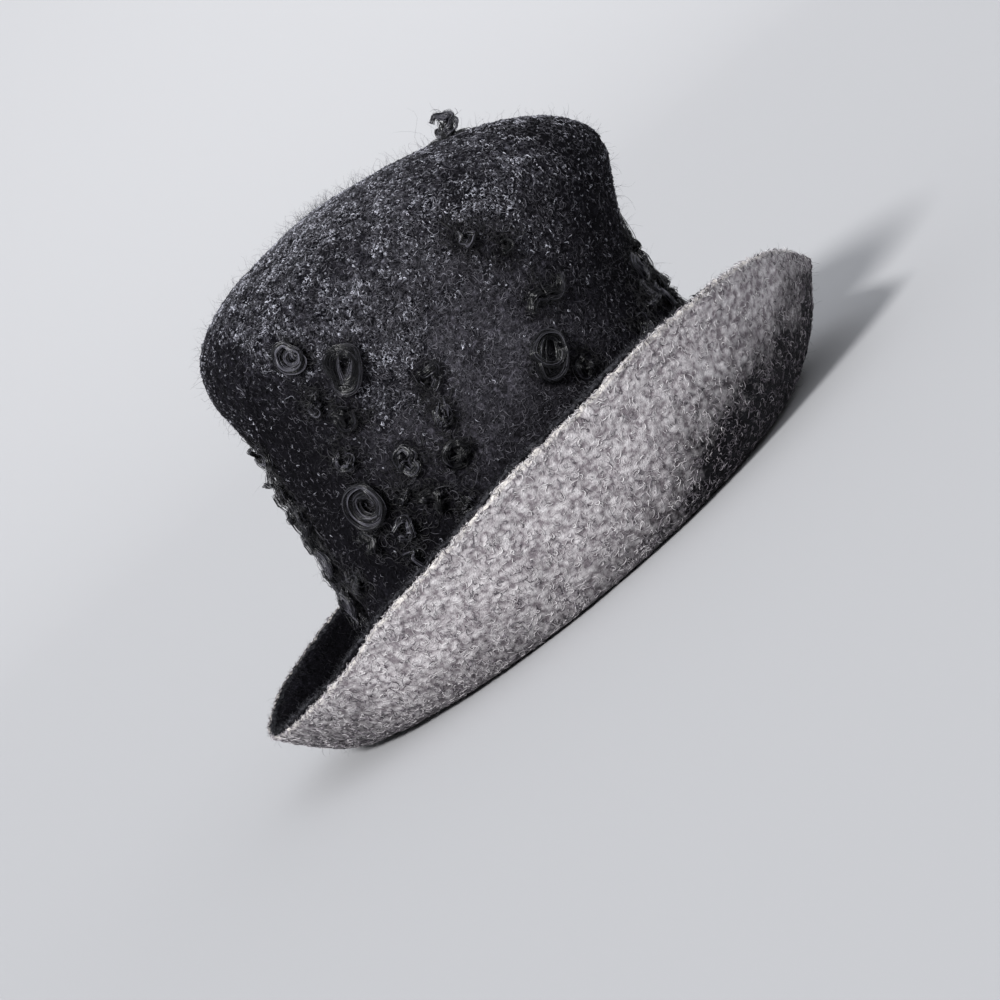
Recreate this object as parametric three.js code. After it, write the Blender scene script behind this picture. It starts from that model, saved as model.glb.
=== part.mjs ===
import * as THREE from 'three';

// A soft, hand-felted top hat: two layers of felt, dark outside and pale inside, shaped as one tall
// crown and one wide brim that is turned up all round, with curled wool locks on the crown and a
// ribbon sweatband in the head opening. Millimetres, +Z up. The front of the hat points to -X and
// the wearer's left side to -Y. Angles run anticlockwise seen from above, from 0 at the back.

// ---------------------------------------------------------------------------- driving dimensions

const LAYER = 2.2;              // thickness of one layer of felt
const GAP = 0.3;                // clearance between neighbouring pieces
const FELT = 2 * LAYER + GAP;   // both layers together
const BREAK = 16;               // height of the break line, where the crown meets the brim

// The crown's outer surface, in eight stations from the break line at the brim to the crown's
// highest point. Each gives the front, the back and the half width, as [distance out, height].
const CROWN_STATIONS = [
  { front: [-105, BREAK], back: [109, BREAK], side: [90, BREAK] },
  { front: [-100, 57], back: [109, 53], side: [87.5, 55] },
  { front: [-92, 98], back: [107, 92], side: [86, 95] },
  { front: [-88, 131], back: [117, 120], side: [88, 126] },
  { front: [-89, 158], back: [133, 146], side: [91, 153] },
  { front: [-88, 178], back: [126, 166], side: [89, 172] },
  { front: [-75, 196.5], back: [102, 185], side: [73, 192] },
  { front: [-40, 207.5], back: [63, 198.5], side: [42, 205] },
  { front: [6, 209.5], back: [6, 209.5], side: [0, 209.5] },
];

const FOLD_RADIUS = 10;         // underside radius of the roll where the crown turns into the brim
const REST_WIDTH = 8;           // flat ring under the roll, on which the hat stands

// The brim's edge at every 30 degrees, from the back round by the right side: how far it reaches
// out from the crown, how high it is turned up, how steeply it stands there, in degrees, and how
// full its underside is, from 0 for a straight wall to 1 for a deep bowl.
const BRIM_STATIONS = [
  { reach: 63.5, rise: 43, lean: 70, bowl: 0.3 },
  { reach: 59, rise: 41, lean: 62, bowl: 0.4 },
  { reach: 50, rise: 48, lean: 66, bowl: 0.4 },
  { reach: 47, rise: 52, lean: 70, bowl: 0.4 },
  { reach: 47, rise: 49, lean: 66, bowl: 0.5 },
  { reach: 56, rise: 44, lean: 60, bowl: 0.6 },
  { reach: 69, rise: 33.5, lean: 52, bowl: 0.6 },
  { reach: 50, rise: 41, lean: 62, bowl: 0.6 },
  { reach: 41, rise: 60, lean: 72, bowl: 0.4 },
  { reach: 36, rise: 69, lean: 77, bowl: 0.3 },
  { reach: 42, rise: 75, lean: 76, bowl: 0.3 },
  { reach: 54.5, rise: 67, lean: 72, bowl: 0.3 },
];
const EDGE_WAVE = 0.8;          // slow up-and-down wander of the hand-cut edge
const DARK_MARGIN = 2;          // how far the dark layer stands above the pale one at the edge
const LIP = 0.77;               // how far a layer's cut edge is rounded out
const WALL_PULL = 0.42;         // share of the wall's span over which it straightens to its lean

const RIBBON_WIDTH = 30;        // petersham sweatband
const RIBBON_THICKNESS = 0.9;
const RIBBON_START = 17;        // height of its lower edge

const CROWN_SIDES = 44;
const CROWN_ROWS = 12;
const CROWN_LAST_ROW = 0.965;   // where the rows give way to the fan of faces at the top
const ROW_CROWDING = 0.94;      // below 1 the rows draw together towards the top
const BRIM_SIDES = 48;
const ROLL_STEPS = 3;
const WALL_STEPS = 5;

// --------------------------------------------------------------------------------- materials

const felt = (color) => new THREE.MeshStandardMaterial({ color, roughness: 0.97, metalness: 0 });
const MATERIALS = {
  darkFelt: felt(0x24232a),
  paleFelt: felt(0xa8a1a6),
  ribbon: new THREE.MeshStandardMaterial({ color: 0x17161a, roughness: 0.7, metalness: 0 }),
  lock: new THREE.MeshStandardMaterial({ color: 0x101014, roughness: 0.6, metalness: 0 }),
};

// ------------------------------------------------------------------------------- mesh helpers

// Joins successive rings of points into one closed surface. A ring of a single point closes an
// end; with `loop` the last ring is joined back to the first. Each four-sided face is split along
// its shorter diagonal, so that the two faces of a thin layer are split alike, and all faces are
// turned to point out.
function skin(rings, loop = false) {
  const points = rings.flat();
  const starts = [];
  let count = 0;
  for (const ring of rings) {
    starts.push(count);
    count += ring.length;
  }
  const index = [];
  const joins = loop ? rings.length : rings.length - 1;
  for (let r = 0; r < joins; r++) {
    const next = (r + 1) % rings.length;
    const [a, b] = [starts[r], starts[next]];
    const sides = Math.max(rings[r].length, rings[next].length);
    for (let i = 0; i < sides; i++) {
      const j = (i + 1) % sides;
      if (rings[r].length === 1) index.push(a, b + i, b + j);
      else if (rings[next].length === 1) index.push(a + i, b, a + j);
      else index.push(...splitFace(points, a + i, a + j, b + i, b + j));
    }
  }
  if (signedVolume(points, index) < 0) index.reverse();
  const geometry = new THREE.BufferGeometry().setFromPoints(points);
  geometry.setIndex(index);
  geometry.computeVertexNormals();
  return geometry;
}

function splitFace(points, a, aNext, b, bNext) {
  const rising = points[a].distanceTo(points[bNext]);
  const falling = points[aNext].distanceTo(points[b]);
  return rising < falling ? [a, b, bNext, a, bNext, aNext] : [a, b, aNext, aNext, b, bNext];
}

function signedVolume(points, index) {
  let volume = 0;
  for (let i = 0; i < index.length; i += 3) {
    const [a, b, c] = [points[index[i]], points[index[i + 1]], points[index[i + 2]]];
    volume += a.dot(b.clone().cross(c)) / 6;
  }
  return volume;
}

// Every angle of a full turn in equal steps.
const turns = (sides) => Array.from({ length: sides }, (_, i) => (i / sides) * 2 * Math.PI);

// --------------------------------------------------------------------------------- the crown

const profile = (key) =>
  new THREE.SplineCurve(CROWN_STATIONS.map((station) => new THREE.Vector2(...station[key])));
const FRONT = profile('front');
const BACK = profile('back');
const SIDE = profile('side');

// A point of the crown's outer surface: t runs from the break line (0) to the top (1).
function crownPoint(t, turn) {
  const [front, back, side] = [FRONT.getPoint(t), BACK.getPoint(t), SIDE.getPoint(t)];
  const [along, across] = [Math.cos(turn), Math.sin(turn)];
  const end = along > 0 ? back : front;
  const height = end.y * along ** 2 + side.y * across ** 2;
  const middle = (front.x + back.x) / 2;
  return new THREE.Vector3(middle + ((back.x - front.x) / 2) * along, side.x * across, height);
}

function crownTangents(t, turn) {
  const step = 0.004;
  const low = Math.max(t - step, 0);
  const high = Math.min(t + step, 0.996);
  const up = crownPoint(high, turn).sub(crownPoint(low, turn)).divideScalar(high - low);
  const round = crownPoint(t, turn + step).sub(crownPoint(t, turn - step)).divideScalar(2 * step);
  return { up, round, out: round.clone().cross(up).normalize() };
}

// A point that stands off the crown's outer surface by `lift`, or inside it when that is negative.
function onCrown(t, turn, lift) {
  return crownPoint(t, turn).addScaledVector(crownTangents(t, turn).out, lift);
}

// One layer of the crown, from `lift` inwards by the layer's thickness, open at the bottom, where
// it is cut level.
function crownLayer(lift) {
  const rows = Array.from({ length: CROWN_ROWS + 1 }, (_, i) =>
    (i / CROWN_ROWS) ** ROW_CROWDING * CROWN_LAST_ROW);
  const top = crownPoint(1, 0);
  const level = (t, point) => (t === 0 ? point.setZ(BREAK) : point);
  const ring = (t, depth) =>
    turns(CROWN_SIDES).map((turn) => level(t, onCrown(t, turn, depth)));
  const outside = rows.map((t) => ring(t, lift)).reverse();
  const inside = rows.map((t) => ring(t, lift - LAYER));
  const summit = (depth) => [top.clone().setZ(top.z + depth)];
  return skin([summit(lift), ...outside, ...inside, summit(lift - LAYER)]);
}

// The fraction up the crown at which its surface reaches a height, at one angle.
function fractionAt(height, turn) {
  let [low, high] = [0, 1];
  for (let i = 0; i < 30; i++) {
    const middle = (low + high) / 2;
    if (crownPoint(middle, turn).z < height) low = middle;
    else high = middle;
  }
  return low;
}

function sweatband() {
  const lift = -FELT - GAP;
  const heights = [RIBBON_START, RIBBON_START + RIBBON_WIDTH / 2, RIBBON_START + RIBBON_WIDTH];
  const ring = (height, depth) =>
    turns(CROWN_SIDES).map((turn) => onCrown(fractionAt(height, turn), turn, depth));
  const outside = heights.map((height) => ring(height, lift));
  const inside = heights.map((height) => ring(height, lift - RIBBON_THICKNESS)).reverse();
  return skin([...outside, ...inside], true);
}

// ---------------------------------------------------------------------------------- the brim

// A quantity of the brim stations as a smooth closed function of the angle.
function aroundBrim(key) {
  const values = BRIM_STATIONS.map((station) => new THREE.Vector3(station[key], 0, 0));
  const curve = new THREE.CatmullRomCurve3(values, true, 'catmullrom', 0.5);
  return (turn) => curve.getPoint(turn / (2 * Math.PI)).x;
}
const [reachAt, riseAt, leanAt, bowlAt] = ['reach', 'rise', 'lean', 'bowl'].map(aroundBrim);

// The brim's underside at one angle, from the head opening, round the roll and out to the edge:
// points as [distance out from the crown's outer face, height], each with the direction into the
// felt. The wall down from the crown is vertical and the ring under the roll is flat.
function undersideAt(turn) {
  const wave = EDGE_WAVE * (Math.sin(7 * turn) + 0.6 * Math.sin(11 * turn + 1));
  const slope = THREE.MathUtils.degToRad(leanAt(turn));
  const roll = new THREE.Vector2(FOLD_RADIUS - FELT, FOLD_RADIUS);
  const top = new THREE.Vector2(-FELT, BREAK - GAP);
  const points = [{ at: top, into: new THREE.Vector2(1, 0) }];
  for (let i = 0; i <= ROLL_STEPS; i++) {
    const angle = ((i / ROLL_STEPS) * Math.PI) / 2;
    const into = new THREE.Vector2(Math.cos(angle), Math.sin(angle));
    points.push({ at: roll.clone().addScaledVector(into, -FOLD_RADIUS), into });
  }
  const flat = new THREE.Vector2(roll.x + REST_WIDTH, 0);
  const edge = new THREE.Vector2(reachAt(turn), riseAt(turn) + wave);
  const pull = WALL_PULL * edge.distanceTo(flat);
  const wall = new THREE.CubicBezierCurve(
    flat,
    new THREE.Vector2(flat.x + bowlAt(turn) * (edge.x - flat.x), 0),
    edge.clone().sub(new THREE.Vector2(Math.cos(slope), Math.sin(slope)).multiplyScalar(pull)),
    edge);
  for (let i = 0; i <= WALL_STEPS; i++) {
    const along = wall.getTangent(i / WALL_STEPS);
    points.push({ at: wall.getPoint(i / WALL_STEPS), into: new THREE.Vector2(-along.y, along.x) });
  }
  return points;
}

// One layer of the brim, between two depths measured into the felt from the underside. With a
// margin the layer runs on past the others at the edge.
function brimLayer(near, far, margin = 0) {
  const sections = turns(BRIM_SIDES).map((turn) => {
    const base = crownPoint(0, turn);
    const { round } = crownTangents(0, turn);
    const out = new THREE.Vector3(round.y, -round.x, 0).normalize();
    const place = ({ at, into }, depth) =>
      new THREE.Vector3(base.x, base.y, at.y + into.y * depth)
        .addScaledVector(out, at.x + into.x * depth);
    const underside = undersideAt(turn);
    const { at, into } = underside.at(-1);
    const beyond = new THREE.Vector2(into.y, -into.x);
    const past = (distance) => ({ at: at.clone().addScaledVector(beyond, distance), into });
    if (margin > 0) underside.push(past(margin));
    const lip = past(margin + LIP);
    return [
      ...underside.map((point) => place(point, near)),
      place(lip, (near + far) / 2),
      ...underside.map((point) => place(point, far)).reverse(),
    ];
  });
  return skin(sections, true);
}

// ---------------------------------------------------------------------------------- the locks

// Shapes of a lock, as offsets [round, up] from its middle, for s from 0 to 1, at unit size.
const LOCK_SHAPES = {
  coil: (s) => [Math.cos(0.7 + 5.6 * s), Math.sin(0.7 + 5.6 * s)],
  drop: (s) => [0.62 * Math.sin(0.5 + 5.3 * s), 1.15 * Math.cos(0.5 + 5.3 * s)],
  hook: (s) => (s < 0.4
    ? [0.6, 1.3 - 3.25 * s]
    : [0.6 * Math.cos((s - 0.4) * 5.2), -0.6 * Math.sin((s - 0.4) * 5.2)]),
  wave: (s) => [0.55 * Math.sin(2 * Math.PI * s), 1.3 - 2.6 * s],
};
const CLEARANCE = 1;            // between a lock's wool and the felt under it
const LOCK_FULLNESS = 0.34;     // a lock's own thickness, as a share of its size
const LOCK_TIP = 0.55;          // thickness near its ends, as a share of that in its middle
const LOCK_STEPS = 9;
const LOCK_SIDES = 5;

// A tapering tube of wool through a list of points, pointed at both ends.
function strand(points, thickness) {
  const path = new THREE.CatmullRomCurve3(points);
  const frames = path.computeFrenetFrames(LOCK_STEPS, false);
  const rings = [[path.getPointAt(0)]];
  for (let i = 1; i < LOCK_STEPS; i++) {
    const s = i / LOCK_STEPS;
    const radius = thickness * (LOCK_TIP + (1 - LOCK_TIP) * Math.sin(Math.PI * s));
    const middle = path.getPointAt(s);
    rings.push(turns(LOCK_SIDES).map((turn) => middle.clone()
      .addScaledVector(frames.normals[i], radius * Math.cos(turn))
      .addScaledVector(frames.binormals[i], radius * Math.sin(turn))));
  }
  rings.push([path.getPointAt(1)]);
  return skin(rings);
}

// A lock lying on the crown: its shape is laid over the surface about a middle point, given by an
// angle round the crown and a height, turned by `tilt`, and stands off by its own thickness. An
// upright lock stands on its edge instead.
function lock({ shape, at: [degrees, height], size, tilt = 0, lift = 0, upright = false }) {
  const turn = THREE.MathUtils.degToRad(degrees);
  const t = fractionAt(height, turn);
  const { up, round } = crownTangents(t, turn);
  const thickness = LOCK_FULLNESS * size;
  const lean = THREE.MathUtils.degToRad(tilt);
  const points = [];
  for (let i = 0; i <= 2 * LOCK_STEPS; i++) {
    const [p, q] = LOCK_SHAPES[shape](i / (2 * LOCK_STEPS));
    const across = size * (p * Math.cos(lean) - q * Math.sin(lean));
    const above = size * (p * Math.sin(lean) + q * Math.cos(lean));
    const off = thickness + CLEARANCE + lift;
    points.push(upright
      ? onCrown(t + across / up.length(), turn, off + size + above)
      : onCrown(t + above / up.length(), turn + across / round.length(), off));
  }
  return strand(points, thickness);
}

// The locks by the part of the crown that they sit on. Sizes are radii in millimetres.
const LOCKS = {
  left: [
    { shape: 'coil', at: [234, 167], size: 5.6 },
    { shape: 'drop', at: [243.5, 149], size: 8.5, tilt: -40 },
    { shape: 'hook', at: [230, 145], size: 4.5, tilt: -20 },
    { shape: 'coil', at: [236, 131], size: 4.8 },
    { shape: 'coil', at: [228, 117], size: 4.2, tilt: 40 },
    { shape: 'coil', at: [227, 95], size: 8.2 },
    { shape: 'hook', at: [220, 79], size: 4.6, tilt: 60 },
    { shape: 'coil', at: [244.5, 100], size: 4.6, tilt: 90 },
    { shape: 'hook', at: [237.5, 88], size: 4, tilt: -30 },
    { shape: 'coil', at: [233, 75], size: 4.2, tilt: 150 },
    { shape: 'wave', at: [231, 60], size: 4.6, tilt: 20 },
    { shape: 'coil', at: [260, 122], size: 4.4, tilt: 200 },
    { shape: 'drop', at: [259, 106], size: 5, tilt: -15 },
    { shape: 'coil', at: [256.5, 88], size: 4.6, tilt: 120 },
    { shape: 'coil', at: [245.5, 79], size: 4.2, tilt: 30 },
    { shape: 'hook', at: [251, 66], size: 4.4, tilt: 10 },
    { shape: 'wave', at: [297, 116], size: 8, tilt: -65 },
    { shape: 'drop', at: [290.5, 94], size: 8.4, tilt: -35 },
    { shape: 'coil', at: [297, 80], size: 3.4 },
    { shape: 'coil', at: [283, 158], size: 3.2, tilt: 60 },
    { shape: 'hook', at: [290, 144], size: 3.4, tilt: 30 },
  ],
  back: [
    { shape: 'coil', at: [352, 104], size: 4.8, tilt: 70 },
    { shape: 'drop', at: [341, 94], size: 5.6, tilt: 25 },
    { shape: 'coil', at: [351, 88], size: 4.6, tilt: 160 },
    { shape: 'hook', at: [332, 81], size: 5, tilt: -10 },
    { shape: 'coil', at: [343, 74], size: 4.6 },
    { shape: 'wave', at: [321, 72], size: 5.4, tilt: 15 },
    { shape: 'coil', at: [12, 112], size: 5, tilt: 20 },
    { shape: 'hook', at: [8, 80], size: 5.2, tilt: 35 },
    { shape: 'drop', at: [28, 96], size: 5.6, tilt: -20 },
  ],
  right: [
    { shape: 'coil', at: [48, 128], size: 5.4, tilt: 45 },
    { shape: 'wave', at: [66, 104], size: 7, tilt: 30 },
    { shape: 'drop', at: [88, 122], size: 7.6, tilt: -10 },
    { shape: 'coil', at: [104, 98], size: 6.4, tilt: 110 },
    { shape: 'hook', at: [118, 132], size: 5, tilt: 20 },
    { shape: 'coil', at: [134, 108], size: 7.4, tilt: 15 },
    { shape: 'coil', at: [128, 158], size: 5, tilt: 80 },
    { shape: 'drop', at: [150, 90], size: 5.8, tilt: 10 },
  ],
  front: [
    { shape: 'coil', at: [194, 140], size: 5, tilt: 60 },
    { shape: 'hook', at: [186, 118], size: 5, tilt: -30 },
    { shape: 'coil', at: [191, 102], size: 5, tilt: 200 },
    { shape: 'drop', at: [180, 90], size: 5.8, tilt: 10 },
    { shape: 'coil', at: [190, 80], size: 5.4, tilt: 130, lift: 1 },
    { shape: 'wave', at: [178, 66], size: 5.8, tilt: -15, lift: 1 },
    { shape: 'coil', at: [190, 58], size: 6, tilt: 20, lift: 1 },
    { shape: 'hook', at: [202, 66], size: 5, tilt: 40 },
    { shape: 'coil', at: [168, 100], size: 5.2, tilt: 90 },
  ],
};

// ---------------------------------------------------------------------------------- assembly

const hat = new THREE.Group();

function add(name, geometry, material) {
  const mesh = new THREE.Mesh(geometry, material);
  mesh.name = name;
  hat.add(mesh);
}

add('crown_outer_felt', crownLayer(0), MATERIALS.darkFelt);
add('crown_inner_felt', crownLayer(-LAYER - GAP), MATERIALS.paleFelt);
add('brim_upper_felt', brimLayer(LAYER + GAP, FELT, DARK_MARGIN), MATERIALS.darkFelt);
add('brim_under_felt', brimLayer(0, LAYER), MATERIALS.paleFelt);
add('sweatband', sweatband(), MATERIALS.ribbon);

for (const [part, locks] of Object.entries(LOCKS)) {
  locks.forEach((details, i) => {
    const number = String(i + 1).padStart(2, '0');
    add(`${part}_lock_${number}`, lock(details), MATERIALS.lock);
  });
}
add('crown_tuft', lock({ shape: 'coil', at: [345, 195], size: 4.2, upright: true }), MATERIALS.lock);

// The origin is the centre of the hat's own outline, at the level on which it stands.
const outline = new THREE.Box3().setFromObject(hat);
const centre = outline.getCenter(new THREE.Vector3());
hat.position.set(-centre.x, -centre.y, -outline.min.z);

export default hat;
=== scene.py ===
import math

import bmesh
import bpy
import numpy as np
from mathutils import Matrix, Vector, noise
from mathutils.bvhtree import BVHTree


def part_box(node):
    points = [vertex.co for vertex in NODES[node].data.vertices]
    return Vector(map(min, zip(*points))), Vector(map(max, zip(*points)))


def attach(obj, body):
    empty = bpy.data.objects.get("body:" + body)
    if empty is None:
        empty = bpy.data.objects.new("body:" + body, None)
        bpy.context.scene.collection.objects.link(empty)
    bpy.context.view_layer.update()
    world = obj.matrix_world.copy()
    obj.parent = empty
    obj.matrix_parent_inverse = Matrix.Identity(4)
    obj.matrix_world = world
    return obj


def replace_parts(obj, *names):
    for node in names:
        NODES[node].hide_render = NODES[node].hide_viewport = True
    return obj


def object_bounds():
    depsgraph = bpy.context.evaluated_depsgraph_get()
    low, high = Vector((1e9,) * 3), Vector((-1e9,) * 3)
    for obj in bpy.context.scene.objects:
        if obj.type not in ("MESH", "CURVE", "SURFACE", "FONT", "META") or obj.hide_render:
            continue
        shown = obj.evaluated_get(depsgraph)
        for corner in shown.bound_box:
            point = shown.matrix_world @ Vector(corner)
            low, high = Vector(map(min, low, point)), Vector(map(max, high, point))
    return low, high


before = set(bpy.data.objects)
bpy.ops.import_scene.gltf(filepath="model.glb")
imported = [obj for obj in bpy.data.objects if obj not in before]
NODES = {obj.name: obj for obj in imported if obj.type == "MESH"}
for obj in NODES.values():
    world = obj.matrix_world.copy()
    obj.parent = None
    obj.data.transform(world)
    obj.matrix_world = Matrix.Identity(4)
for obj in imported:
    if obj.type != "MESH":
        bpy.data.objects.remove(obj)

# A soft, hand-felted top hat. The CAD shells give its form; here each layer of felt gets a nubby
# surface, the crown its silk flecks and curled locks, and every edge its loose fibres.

CAD_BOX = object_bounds()
LOW, HIGH = CAD_BOX
CENTRE = (LOW + HIGH) / 2
MM = 0.001

BODY = "root"

JOINT_OVERLAP = 1.3 * MM        # how far the dark layers run past the break line, from each side
JOINT_BLEND = 4 * MM            # over what height they do so
UNEVEN_EDGE = 3 * MM            # how deep the unevenness of a brim layer's cut edge reaches
DARK_STANDS_BACK = 3.4 * MM     # how much lower the brim's dark layer ends, but for the left side
TIP_DROP = 5 * MM               # how far the brim's edge is rounded down at its tip at the back
TUFT = "crown_tuft"
LOCKS = sorted(name for name in NODES if "_lock_" in name or name == TUFT)

# Where the silk was laid on in knots, in millimetres.
SILK_KNOTS = [(70, -82, 157), (84, -72, 166), (66, -79, 139),
              (-15, -86, 146), (-8, -87, 138), (-4, -88, 128)]


# ------------------------------------------------------------------------------ small helpers

def coordinates(mesh):
    """A mesh's vertices as an array, one row each."""
    co = np.empty(len(mesh.vertices) * 3, np.float32)
    mesh.vertices.foreach_get("co", co)
    return co.reshape(-1, 3).astype(float)


def place_vertices(mesh, co):
    """Moves a mesh's vertices to these places."""
    mesh.vertices.foreach_set("co", co.astype(np.float32).ravel())


def normals(mesh):
    """A mesh's vertex normals as an array, one row each."""
    out = np.empty(len(mesh.vertices) * 3, np.float32)
    mesh.vertex_normals.foreach_get("vector", out)
    return out.reshape(-1, 3).astype(float)


def unit(rows):
    """Rows scaled to length 1."""
    return rows / np.maximum(np.linalg.norm(rows, axis=-1, keepdims=True), 1e-12)


def ramp(value, low, high):
    """0 below low, 1 above high, smooth between."""
    t = np.clip((value - low) / (high - low), 0, 1)
    return t * t * (3 - 2 * t)


def cloud(points, size, octaves=2, shift=0.0):
    """Smooth noise from about -1 to 1, with features of about this size in metres."""
    offset = Vector((shift, shift * 1.7, -shift))
    return np.array([
        noise.fractal(Vector(p) / size + offset, 0.8, 2.1, octaves) for p in points])


def pebbles(points, size, shift=0.0):
    """Rounded grains of this size: 1 in the middle of a grain and 0 between grains."""
    offset = Vector((shift, -shift, shift * 0.3))
    near = np.array([noise.voronoi(Vector(p) / size + offset)[0][0] for p in points])
    return np.clip(1 - near / 0.62, 0, 1) ** 0.7


def rim_drop(points):
    """How far each point of the brim lies below the brim's edge at its own angle."""
    bins = 180
    turn = np.arctan2(points[:, 1] - CENTRE.y, points[:, 0] - CENTRE.x) / (2 * math.pi) % 1 * bins
    top = np.full(bins, LOW.z)
    np.maximum.at(top, turn.astype(int), points[:, 2])
    around = np.arange(-1, bins + 1)
    return np.interp(turn, around + 0.5, top[around % bins]) - points[:, 2]


def new_piece(name, mesh, material):
    """A mesh as a named piece of the hat, in one material."""
    piece = bpy.data.objects.new(name, mesh)
    bpy.context.scene.collection.objects.link(piece)
    mesh.materials.append(material)
    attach(piece, BODY)
    return piece


# ---------------------------------------------------------------------------------- materials

class Shader:
    """A node material, with short ways to add nodes to it."""

    def __init__(self, name, roughness, sheen=0.0, shine=0.5):
        self.material = bpy.data.materials.new(name)
        self.material.use_nodes = True
        self.tree = self.material.node_tree
        self.surface = self.tree.nodes["Principled BSDF"]
        self.set(Roughness=roughness, **{
            "Sheen Weight": sheen, "Sheen Roughness": 0.5, "Specular IOR Level": shine})

    def put(self, socket, value):
        """Links a node's output, or sets a plain value."""
        if isinstance(value, bpy.types.NodeSocket):
            self.tree.links.new(value, socket)
        else:
            socket.default_value = value

    def set(self, **inputs):
        """Sets inputs of the surface."""
        for name, value in inputs.items():
            self.put(self.surface.inputs[name], value)

    def add(self, kind, inputs, output=0, **settings):
        """Adds a node of this kind and gives one of its outputs."""
        made = self.tree.nodes.new("ShaderNode" + kind)
        for name, value in settings.items():
            setattr(made, name, value)
        for name, value in inputs.items():
            self.put(made.inputs[name], value)
        return made.outputs[output]

    def noise(self, size, detail):
        """Noise with features of about this size in metres."""
        place = self.add("TexCoord", {}, "Object")
        return self.add("TexNoise", {"Vector": place, "Scale": 1 / size, "Detail": detail})

    def measure(self, name):
        """A value that the mesh stores for each vertex."""
        return self.add("Attribute", {}, "Fac", attribute_name=name)

    def steps(self, value, *stops):
        """A colour ramp through stops of (position, colour or grey)."""
        made = self.tree.nodes.new("ShaderNodeValToRGB")
        self.put(made.inputs[0], value)
        elements = made.color_ramp.elements
        while len(elements) < len(stops):
            elements.new(0.5)
        for element, (position, colour) in zip(elements, stops):
            element.position = position
            element.color = (*colour, 1) if isinstance(colour, tuple) else (colour,) * 3 + (1,)
        return made.outputs[0]

    def mix(self, share, a, b, blend="MIX"):
        made = self.tree.nodes.new("ShaderNodeMix")
        made.data_type = "RGBA"
        made.blend_type = blend
        for socket, value in zip((made.inputs[0], made.inputs[6], made.inputs[7]), (share, a, b)):
            self.put(socket, (*value, 1) if isinstance(value, tuple) else value)
        return made.outputs[2]

    def math(self, operation, a, b):
        made = self.tree.nodes.new("ShaderNodeMath")
        made.operation = operation
        self.put(made.inputs[0], a)
        self.put(made.inputs[1], b)
        return made.outputs[0]

    def times(self, a, b):
        return self.math("MULTIPLY", a, b)

    def plus(self, a, b):
        return self.math("ADD", a, b)

    def bump(self, height, depth):
        normal = self.add("Bump", {"Height": height, "Distance": depth, "Strength": 1.0})
        self.set(Normal=normal)


def dark_felt():
    """Charcoal felt with a violet cast: near black between its nubs and lighter on their tops,
    partly as a painted highlight, greyer where fine pale wool is blended in, and flecked with
    light silk."""
    shader = Shader("dark_felt", 0.93, 0.0, 0.03)
    grain = shader.noise(1.3 * MM, 5)
    fine = shader.noise(0.45 * MM, 5)
    nub = shader.measure("nub")
    ground = shader.mix(shader.measure("haze"), (0.0088, 0.0083, 0.011), (0.095, 0.09, 0.107))
    mottle = shader.plus(shader.times(grain, 0.5), shader.times(fine, 0.4))
    # Nub tops lighter, here and in the silk tone: partly pale fibre, partly a painted highlight.
    light = shader.steps(shader.plus(shader.times(nub, 0.3), mottle),
                         (0.4, 0.2), (0.58, 0.9), (0.8, 3.4))
    wool_tone = shader.mix(1.0, ground, light, "MULTIPLY")
    silk_tone = shader.steps(shader.plus(shader.times(nub, 0.5), shader.times(fine, 0.6)),
                             (0.36, (0.003, 0.003, 0.0045)), (0.52, (0.026, 0.025, 0.031)),
                             (0.72, (0.2, 0.197, 0.23)))
    silk = shader.steps(shader.plus(shader.measure("silk"), shader.times(grain, 0.8)),
                        (0.55, 0.0), (0.9, 1.0))
    felt = shader.mix(silk, wool_tone, silk_tone)
    edge = shader.times(shader.measure("lip"), shader.steps(grain, (0.4, 0.3), (0.6, 1.0)))
    shader.set(**{"Base Color": shader.mix(edge, felt, (0.06, 0.06, 0.067))})
    shader.bump(shader.plus(fine, grain), 0.6 * MM)
    return shader.material


def pale_felt():
    """Grey-mauve felt, mottled by darker purple-grey wool in its grain, darkened by a mask that is
    partly dark wool and partly painted shade, with a painted highlight along its cut edge.
    """
    shader = Shader("pale_felt", 0.95, 0.04, 0.1)
    nub = shader.measure("nub")
    blotch = shader.noise(2.6 * MM, 4)
    streaks = shader.noise(1.1 * MM, 5)
    tone = shader.plus(shader.times(nub, 0.35), shader.times(blotch, 0.8))
    colour = shader.steps(tone, (0.36, (0.28, 0.245, 0.265)), (0.5, (0.53, 0.495, 0.51)),
                          (0.68, (0.71, 0.68, 0.69)))
    flecks = shader.steps(streaks, (0.35, 0.72), (0.6, 1.12))
    mixed = shader.mix(1.0, colour, flecks, "MULTIPLY")
    # The darkened felt and its mask: partly dark wool blended in, partly painted shade.
    dark = shader.mix(1.0, mixed, (0.014, 0.014, 0.018), "MULTIPLY")
    patches = shader.plus(shader.times(streaks, 0.9), shader.times(nub, -0.25))
    blend = shader.steps(shader.plus(shader.measure("dark_wool_and_painted_shade"), patches),
                         (0.3, 0.0), (0.55, 0.4), (0.85, 0.8), (1.15, 0.96), (1.4, 1.0))
    shaded = shader.mix(blend, mixed, dark)
    # Painted highlight along the cut edge.
    shader.set(**{"Base Color": shader.mix(shader.measure("lip"), shaded, (0.74, 0.7, 0.66))})
    shader.bump(shader.plus(streaks, shader.noise(0.5 * MM, 5)), 0.5 * MM)
    return shader.material


def wool(name, roughness, shine, *stops):
    """Loose wool or silk, each fibre of its own shade."""
    shader = Shader(name, roughness, 0.0, shine)
    shader.set(**{"Base Color": shader.steps(shader.measure("tone"), *stops)})
    return shader.material


def petersham():
    """The ribbon's own cloth: matt black, with a fine weave."""
    shader = Shader("petersham", 0.55, 0.2)
    weave = shader.noise(0.5 * MM, 3)
    shader.set(**{"Base Color": shader.steps(weave, (0.3, 0.006), (0.7, 0.016))})
    shader.bump(weave, 0.1 * MM)
    return shader.material


# --------------------------------------------------------------------------------- felt shells

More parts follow.
